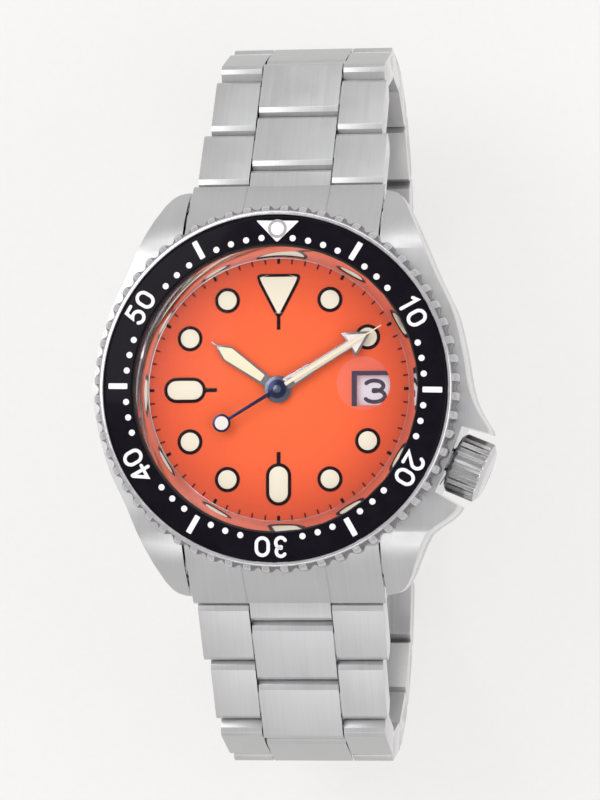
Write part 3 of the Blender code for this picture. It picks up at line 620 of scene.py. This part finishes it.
def bezel():
    profile = [
        (RIM_IN, 12.45),
        (RIM_IN, 12.78),
        (RIM_IN + 0.07, 12.85),
        (19.34, 12.85),
        (19.42, 12.8),
        (19.52, 12.7),
        (19.6, 12.64),
        (19.75, 12.52),
        (19.95, 12.34),
        (20.1, 12.14),
        (BEZEL_R, 11.9),
        (BEZEL_R, 9.75),
        (20.05, 9.5),
        (19.8, 9.25),
        (19.7, 9.2),
        (17.2, 9.2),
        (17.2, 12.2),
        (15.95, 12.2),
        (15.95, 12.45),
    ]
    mesh = turned(profile, SCALLOPS * 10, radius_of=scallop)
    for polygon in mesh.polygons:
        polygon.material_index = bezel_finish(polygon)
    materials = [MATERIALS[m] for m in ("brushed_bezel", "bezel_hollow_painted_shade", "rubber")]
    piece = add("bezel_coin_edge", mesh, "bezel", "bezel_steel", *materials)
    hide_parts("bezel")


# The insert's top, from its hole to its rim
INSERT_PROFILE = (
    (INSERT_HOLE_R, 12.9),
    (15.93, 12.98),
    (18.6, 12.72),
    (18.92, 12.66),
    (INSERT_R, 12.58),
)
INSERT_LOW = 12.5


def insert_height(r):
    """The height of the insert's top at a radius."""
    for (r0, z0), (r1, z1) in zip(INSERT_PROFILE, INSERT_PROFILE[1:]):
        if r <= r1:
            return z0 + (z1 - z0) * (r - r0) / (r1 - r0)
    return INSERT_PROFILE[-1][1]


def laid_on(mesh):
    """Drops a flat mark onto the insert, so that its lowest face follows the slope."""
    for vert in mesh.vertices:
        r = math.hypot(vert.co.x, vert.co.y) / MM
        vert.co.z += (insert_height(r) + PRINT_LIFT) * MM
    return mesh


def fine(mesh, size=0.5):
    """Cuts long edges so that a mark can follow a slope."""
    work = bmesh.new()
    work.from_mesh(mesh)
    for _ in range(3):
        long = [e for e in work.edges if e.calc_length() > size * MM]
        if long:
            bmesh.ops.subdivide_edges(work, edges=long, cuts=1)
    bmesh.ops.triangulate(work, faces=work.faces)
    work.to_mesh(mesh)
    work.free()
    return mesh


# Digits as pen paths in a cell 1 wide and 1.35 high, from its lower left
DIGITS = {
    "0": [arc((0.5, 0.85), 0.45, 180, 0, 14) + arc((0.5, 0.5), 0.45, 0, -180, 14)],
    "1": [[(0.4, 1.12), (0.7, 1.35), (0.7, 0.0)]],
    "2": [arc((0.5, 0.93), 0.42, 165, -35, 12) + [(0.1, 0.0), (0.95, 0.0)]],
    "3": [arc((0.45, 1.01), 0.34, 150, -95, 12), arc((0.46, 0.38), 0.38, 95, -150, 14)],
    "4": [[(0.7, 0.0), (0.7, 1.35)], [(0.62, 1.3), (0.02, 0.42), (1.02, 0.42)]],
    "5": [[(0.85, 1.35), (0.25, 1.35), (0.15, 0.75)] + arc((0.47, 0.45), 0.43, 112, -150, 14)],
}
DIGIT_HIGH = 1.35

# Marks on the insert
DIGIT_PEN = 0.38
DIGIT_SIZE = (1.46, 2.04)
DIGIT_SHIFT = 0.99
DIGIT_R = 17.36
MINUTE_DOT = 0.345
MINUTE_DOT_R = 16.5
PIP_SPOT = (0, 17.46)
BEZEL_SET = 1.1  # degrees that the bezel stands past 12, clockwise


def digit_outlines(digit, width, height, pen):
    """Outlines of a digit in millimetres, centred on its cell."""
    found = []
    for path in DIGITS[digit]:
        points = [((x - 0.5) * width, (y / DIGIT_HIGH - 0.5) * height) for x, y in path]
        if digit == "0":
            found.append([grown(points, pen / 2), grown(points, -pen / 2)])
        else:
            found.append([stroke(points, pen)])
    return found


def bezel_marks():
    """The triangle, the minute dots, the bars and the numerals, with no dots beside a numeral."""
    marks = []
    sweep = {"low": 0.0, "high": PRINT}
    triangle = rounded([(-2.39, 18.35), (2.39, 18.35), (0, 15.95)], 0.22)
    marks.append(plate([triangle, circle(1.02, 40, PIP_SPOT)], **sweep))
    for minute in range(1, 60):
        if minute % 5 and not (minute % 10 in (1, 9) and 1 < minute < 59):
            dot = turned_by(circle(MINUTE_DOT, 20, (0, MINUTE_DOT_R)), 6 * minute)
            marks.append(plate([dot], **sweep))
    for minute in range(5, 60, 10):
        bar = rounded(box_outline(-0.31, 0.31, 16.3, 18.45), 0.12)
        marks.append(plate([turned_by(bar, 6 * minute)], **sweep))
    for tens in range(1, 6):
        for digit, shift in ((str(tens), -DIGIT_SHIFT), ("0", DIGIT_SHIFT)):
            for outlines in digit_outlines(digit, *DIGIT_SIZE, DIGIT_PEN):
                upright = [moved(outline, shift, DIGIT_R) for outline in outlines]
                placed = [turned_by(outline, 60 * tens) for outline in upright]
                marks.append(plate(placed, **sweep))
    return [laid_on(fine(mark)) for mark in marks]


def insert():
    profile = list(INSERT_PROFILE) + [(INSERT_R, INSERT_LOW), (INSERT_HOLE_R, INSERT_LOW)]
    piece = add("bezel_insert_gloss", turned(profile), "bezel", "bezel_insert", MATERIALS["insert"])
    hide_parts("bezel_insert")
    frame_ring = plate([circle(1.0, 40, PIP_SPOT), circle(0.76, 40, PIP_SPOT)], 0, 0.05)
    pip = plate([circle(0.74, 40, PIP_SPOT)], 0, 0.09, 0.03)
    for name, mesh, material in (
        ("bezel_marks", merged(bezel_marks()), "insert_white"),
        ("bezel_pip_frame", laid_on(frame_ring), "insert_grey"),
        ("bezel_pip", laid_on(pip), "lume_pale"),
    ):
        add(name, at_angle(mesh, BEZEL_SET), "bezel", "bezel_insert", MATERIALS[material])


# Dial

FRAME_WIDE = 0.36
FRAME_HIGH = 0.07
LUME_HIGH = 0.11
DOT_R = 11.4
DOT_HOURS = (1, 2, 4, 5, 7, 8, 10, 11)
LUME_DOT = 1.03
MARK_LINE = 0.43
MINUTE_LINE = (13.87, 14.68)  # inner and outer radius of the minute track
DATE_SPOT = (10.68, -0.24)
DATE_SIZE = (3.0, 2.35)
DATE_PEN = 0.44
FRAME_BAR = 0.57


def date_window():
    """The date's opening, square at the left and following the magnifier's edge at the right."""
    x, y = MAGNIFIER_SPOT
    start = math.degrees(math.asin((WINDOW_TOP - y) / WINDOW_R))
    end = math.degrees(math.asin((WINDOW_BOTTOM - y) / WINDOW_R))
    edge = arc((x, y), WINDOW_R, start, end, 24)
    return edge + [(WINDOW_LEFT, WINDOW_BOTTOM), (WINDOW_LEFT, WINDOW_TOP)]


def dial_disc():
    """The dial from one filled outline, with its centre hole and date window."""
    mesh = plate([circle(DIAL_R, 192), circle(0.8, 32), date_window()], 9.25, DIAL_Z)
    piece = add("dial_lacquered", mesh, "case", "dial", MATERIALS["dial"])
    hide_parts("dial")


def twelve_outline():
    """The large marker at 12, a soft inverted triangle."""
    left = [(-2.42, 12.6), (-2.0, 12.75)]
    right = [(2.0, 12.75), (2.42, 12.6), (2.3, 11.9), (0.3, 8.05)]
    return rounded(left + right + [(-0.3, 8.05), (-2.3, 11.9)], 0.5)


def bar_outline():
    """The stadium marker at 6 and 9, made at 12."""
    half = 1.4
    return arc((0, 12.77 - half), half, 0, 180, 20) + arc((0, 8.1 + half), half, 180, 360, 20)


def dial_markers():
    """Frames and lume plots, as two lists of outlines round the dial."""
    frames, plots = [], []
    for hour in DOT_HOURS:
        plot = turned_by(circle(LUME_DOT, 40, (0, DOT_R)), 30 * hour)
        plots.append(plot)
        frames.append([grown(plot, FRAME_WIDE), grown(plot, -0.01)])
    for outline, hours in ((twelve_outline(), (12,)), (bar_outline(), (6, 9))):
        for hour in hours:
            edge = turned_by(outline, 30 * hour)
            inner = grown(edge, -FRAME_WIDE)
            plots.append(grown(edge, -FRAME_WIDE - 0.01))
            frames.append([edge, inner])
    return frames, plots


def dial_lines():
    """The lines from the large markers towards the centre, as outlines at their hours."""
    half = MARK_LINE / 2
    found = [box_outline(-half * 0.9, half * 0.9, 6.6, 8.12)]
    for hour in (6, 9):
        found.append(turned_by(box_outline(-half, half, 6.87, 8.2), 30 * hour))
    return found


def minute_track():
    """Thin lines for the minutes and bold ones for each fifth, as two lists of plates."""
    thin, bold = [], []
    for minute in range(60):
        five = minute % 5 == 0
        half = 0.17 if five else 0.1
        outline = turned_by(box_outline(-half, half, *MINUTE_LINE), 6 * minute)
        (bold if five else thin).append(plate([outline], DIAL_Z + PRINT_LIFT, DIAL_Z + PRINT))
    return thin, bold


def dial():
    """The disc with its markers, lines, minute track and date frame."""
    dial_disc()
    frames, plots = dial_markers()
    low = DIAL_Z + PRINT_LIFT
    metal = [plate(outlines, low, low + FRAME_HIGH, 0.015) for outlines in frames]
    metal += [plate([outline], low, low + FRAME_HIGH * 0.8, 0.01) for outline in dial_lines()]
    add("dial_marker_frames", merged(metal), "case", "dial", MATERIALS["dial_ink"])
    lume = [plate([outline], low, low + LUME_HIGH, 0.04) for outline in plots]
    add("dial_lume", merged(lume), "case", "dial", MATERIALS["lume"])
    thin, bold = minute_track()
    add("dial_minute_track", merged(thin), "case", "dial", MATERIALS["dial_red"])
    add("dial_five_minute_track", merged(bold), "case", "dial", MATERIALS["dial_ink"])
    date_frame()


def date_frame():
    """The printed frame on two sides of the date window."""
    left = WINDOW_LEFT
    far_left = left - FRAME_BAR
    below = WINDOW_BOTTOM - 0.1
    above = WINDOW_TOP + BAR_WIDE
    low = DIAL_Z + PRINT_LIFT
    x, y = MAGNIFIER_SPOT
    top_end = math.degrees(math.asin((WINDOW_TOP - y) / WINDOW_R))
    top_far = math.degrees(math.asin((above - y) / WINDOW_R))
    outline = [(far_left, below), (left, below), (left, WINDOW_TOP)]
    outline += arc((x, y), WINDOW_R, top_end, top_far, 6) + [(far_left, above)]
    mesh = plate([outline], low, low + 0.03)
    add("date_window_frame", mesh, "case", "dial", MATERIALS["date_ink"])


def date_card():
    """The date ring with the day's number under the window. The hidden numbers are left out."""
    ring = plate([circle(12.7, 128), circle(8.2, 96)], bottom_of("date_ring"), DATE_Z)
    card = add("date_ring_printed", ring, "date_ring", "date", MATERIALS["date_white"])
    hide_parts("date_ring")
    outlines = digit_outlines("3", *DATE_SIZE, DATE_PEN)
    marks = []
    for strokes in outlines:
        placed = [moved(outline, *DATE_SPOT) for outline in strokes]
        marks.append(plate(placed, DATE_Z + PRINT_LIFT, DATE_Z + PRINT))
    add("date_number", merged(marks), "date_ring", "date", MATERIALS["date_ink"])


# Hands


def hour_hand():
    low = 10.0
    blade = mirrored([(0.5, 0.6), (0.62, 1.2), (0.88, 6.9), (0.3, 8.1), (0.12, 8.35), (0.08, 9.1)])
    lume = mirrored([(0.42, 2.1), (0.74, 6.8), (0.12, 8.0)])
    meshes = [
        at_angle(plate([blade], low + 0.02, low + 0.12, 0.03), HOUR_ANGLE),
        plate([circle(1.5, 48), circle(0.6, 32)], low, low + 0.14, 0.03),
        at_angle(plate([rounded(lume, 0.15)], low + 0.11, low + 0.145, 0.01), HOUR_ANGLE),
    ]
    materials = [MATERIALS[m] for m in ("hand_steel", "hub", "lume_hand")]
    hand = add("hour_hand_finished", joined(meshes), "hours", "hands", *materials)
    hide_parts("hour_hand")


def minute_hand():
    low = 10.34
    shaft = [(0.6, 0.55), (0.7, 1.57), (0.63, 4.2), (0.52, 4.4)]
    arrow = [(0.52, 9.25), (1.58, 9.15), (0.08, 12.0)]
    window = mirrored([(0.46, 2.0), (0.4, 4.3), (0.36, 9.5)])
    head = mirrored([(1.15, 9.43), (0.05, 11.5)])
    meshes = [
        at_angle(plate([mirrored(shaft + arrow)], low + 0.02, low + 0.12, 0.03), MINUTE_ANGLE),
        plate([circle(1.2, 48), circle(0.33, 32)], low, low + 0.14, 0.03),
        at_angle(plate([window], low + 0.11, low + 0.145), MINUTE_ANGLE),
        at_angle(plate([head], low + 0.11, low + 0.148), MINUTE_ANGLE),
    ]
    materials = [MATERIALS[m] for m in ("hand_steel", "hub", "lume_pale", "lume_pale")]
    hand = add("minute_hand_finished", joined(meshes), "minutes", "hands", *materials)
    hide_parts("minute_hand")


def seconds_hand():
    low = 10.7
    tail = [(0.17, -7.0), (0.17, -6.0), (0.2, 0.0)]
    needle = [(0.2, 0.5), (0.14, 6.0), (0.06, 13.4)]
    weight = (0, -7.2)
    meshes = [
        at_angle(plate([mirrored(tail)], low + 0.02, low + 0.12, 0.02), SECONDS_ANGLE),
        at_angle(plate([mirrored(needle)], low + 0.02, low + 0.12, 0.02), SECONDS_ANGLE),
        plate([circle(1.03, 48)], low, low + 0.14, 0.04),
        at_angle(plate([circle(1.0, 48, weight)], low + 0.01, low + 0.13, 0.02), SECONDS_ANGLE),
        at_angle(plate([circle(0.75, 48, weight)], low + 0.12, low + 0.16, 0.01), SECONDS_ANGLE),
        plate([circle(0.42, 32)], low + 0.13, low + 0.17, 0.01),
    ]
    names = ("blue_steel", "lume_hand", "blue_steel", "blue_steel", "lume_pale", "hub")
    materials = [MATERIALS[m] for m in names]
    hand = add("seconds_hand_finished", joined(meshes), "seconds", "seconds", *materials)
    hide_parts("seconds_hand")


# Glass and the mirror ring

# The slope is steeper below than above, so that the markers are reflected all the way round
MIRROR_PROFILE = [
    (14.44, 9.79),
    (14.44, 9.8),
    (14.47, 9.82),
    (14.6, 9.995),
    (15.0, 10.54),
    (15.2, 10.79),
    (15.63, 11.33),
    (15.7, 11.35),
    (MIRROR_R, 11.35),
    (MIRROR_R, 9.79),
]


def mirror_ring():
    """The polished slope round the dial, with its flat top black as painted shade next to the
    insert.
    """
    mesh = turned(MIRROR_PROFILE)
    for polygon in mesh.polygons:
        # The flat top faces are black, painted shade.
        polygon.material_index = 1 if polygon.normal.z > 0.95 else 0
    materials = [MATERIALS[m] for m in ("mirror", "rubber")]
    piece = add("reflector_ring_mirror", mesh, "case", "reflector", *materials)
    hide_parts("reflector_ring")


def crystal():
    profile = [
        (0.0, CRYSTAL_TOP),
        (15.3, CRYSTAL_TOP),
        (15.48, CRYSTAL_TOP - 0.06),
        (CRYSTAL_R, CRYSTAL_TOP - 0.25),
        (CRYSTAL_R, CRYSTAL_LOW + 0.1),
        (15.5, CRYSTAL_LOW),
        (0.0, CRYSTAL_LOW),
    ]
    mesh = turned(profile, closed=False)
    piece = add("crystal_clear", mesh, "case", "crystal", MATERIALS["crystal"])
    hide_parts("crystal")


def date_lens():
    """The magnifier, domed downwards under the crystal."""
    dome = [(0.0, 11.56), (MAGNIFIER_R, 11.56)]
    for a in range(10, 90, 10):
        across, down = math.cos(math.radians(a)), math.sin(math.radians(a))
        dome.append((MAGNIFIER_R * across, 11.5 - 0.4 * down))
    mesh = turned(dome + [(0.0, 11.1)], 96, closed=False)
    mesh.transform(Matrix.Translation((MAGNIFIER_SPOT[0] * MM, MAGNIFIER_SPOT[1] * MM, 0)))
    piece = add("date_lens_clear", mesh, "case", "crystal", MATERIALS["lens"])
    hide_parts("date_magnifier")


# Crown and the nodes that keep their own shape

CARRIED = {
    # The crystal gasket is black as painted shade, a dark line at the dial's edge; the other
    # gaskets are black rubber.
    "rubber": ("crystal_gasket", "bezel_gasket", "case_back_gasket", "crown_gasket"),
    "plastic": ("movement_ring",),
    "polished": (
        "spring_bar_12",
        "spring_bar_6",
        "crown_tube",
        "winding_stem",
        "bezel_click_spring",
        "pallet_fork",
        "rotor_bearing",
    ),
    "blue_steel": ("hairspring",),
    "movement": ("main_plate", "train_bridge", "balance_cock", "rotor"),
    "brass": (
        "clutch_wheel",
        "fourth_wheel",
        "third_wheel",
        "centre_wheel",
        "escape_wheel",
        "mainspring_barrel",
        "hour_wheel",
        "balance_wheel",
    ),
}
CROWN_ANGLE = -22.5
CROWN_BAND = 24.05  # where the crown's polished end starts, from the hands' axis


def carried_nodes():
    for material, nodes in CARRIED.items():
        for node in nodes:
            mesh = frame["nodes"][node].data
            mesh.materials.clear()
            mesh.materials.append(MATERIALS[material])


def crown():
    refined("crown", body_of_node("crown"), "case_steel", "brushed_crown", 0.08, crown_end)


def crown_end(face):
    out = Vector((math.cos(math.radians(CROWN_ANGLE)), math.sin(math.radians(CROWN_ANGLE)), 0))
    return face.calc_center_median().dot(out) > CROWN_BAND * MM


# Studio

FLOOR_Z = CAD_BOX[0][2] / MM
AIM = (2.86, -1.36, 13.0)
VIEW = (0.144, -0.056, 0.988)
DISTANCE = 480.0
LENS = 198.0
WORLD_COLOUR = (0.985, 0.985, 1.0)
WORLD_STRENGTH = 0.78
FLOOR_HALF = 900
FLOOR_GLOW = 0.6
# Softboxes: name, place, size (wide, high) and power in watts, all aimed at the watch
SOFTBOXES = (
    ("key", (-260, 160, 420), (300, 300), 0.9),
    ("fill", (330, -60, 300), (240, 320), 0.5),
    ("back", (60, 380, 260), (420, 160), 0.5),
    ("front", (0, -380, 260), (420, 140), 0.4),
)


def scaled(spot):
    return Vector(spot) * MM


def looking(position, target):
    """The rotation of a camera or light that faces the target with +Y up."""
    back = (position - target).normalized()
    right = Vector((0, 1, 0)).cross(back).normalized()
    return Matrix((right, back.cross(right), back)).transposed().to_euler()


def camera():
    data = bpy.data.cameras.new("camera")
    data.lens = LENS
    data.sensor_width = 36.0
    data.clip_start = 0.01
    obj = bpy.data.objects.new("camera", data)
    bpy.context.scene.collection.objects.link(obj)
    target = scaled(AIM)
    obj.location = target + Vector(VIEW).normalized() * DISTANCE * MM
    obj.rotation_euler = looking(obj.location, target)
    bpy.context.scene.camera = obj


def floor():
    sheet = box_outline(-FLOOR_HALF, FLOOR_HALF, -FLOOR_HALF, FLOOR_HALF)
    mesh = plate([sheet], FLOOR_Z - 1.0, FLOOR_Z - 0.02)
    obj = bpy.data.objects.new("floor", mesh)
    bpy.context.scene.collection.objects.link(obj)
    made = Shader("floor_paper", (0.25, 0.248, 0.245), 0.9)
    grain = made.spread(made.noise(1.2, 3.0), 0, 1)
    shades = ((0.0, (0.245, 0.243, 0.24)), (1.0, (0.255, 0.253, 0.25)))
    made.drive("Base Color", made.ramp(grain, *shades))
    made.set("Emission Color", (1.0, 0.992, 0.98, 1))
    made.set("Emission Strength", FLOOR_GLOW)
    obj.data.materials.append(made.material)


def softbox(name, place, size, power):
    data = bpy.data.lights.new(name, "AREA")
    data.shape = "RECTANGLE"
    data.size, data.size_y = size[0] * MM, size[1] * MM
    data.energy = power
    obj = bpy.data.objects.new(name, data)
    bpy.context.scene.collection.objects.link(obj)
    obj.location = scaled(place)
    obj.rotation_euler = looking(obj.location, scaled((0, 0, 0)))


def world():
    made = bpy.data.worlds.new("studio")
    made.use_nodes = True
    background = made.node_tree.nodes["Background"]
    background.inputs["Color"].default_value = (*WORLD_COLOUR, 1)
    background.inputs["Strength"].default_value = WORLD_STRENGTH
    bpy.context.scene.world = made


bpy.context.scene.view_settings.view_transform = "Standard"
camera()
floor()
world()
for box_facts in SOFTBOXES:
    softbox(*box_facts)

steel_pieces()
crown()
bezel()
insert()
dial()
date_card()
hour_hand()
minute_hand()
seconds_hand()
mirror_ring()
crystal()
date_lens()
carried_nodes()

bpy.context.view_layer.update()
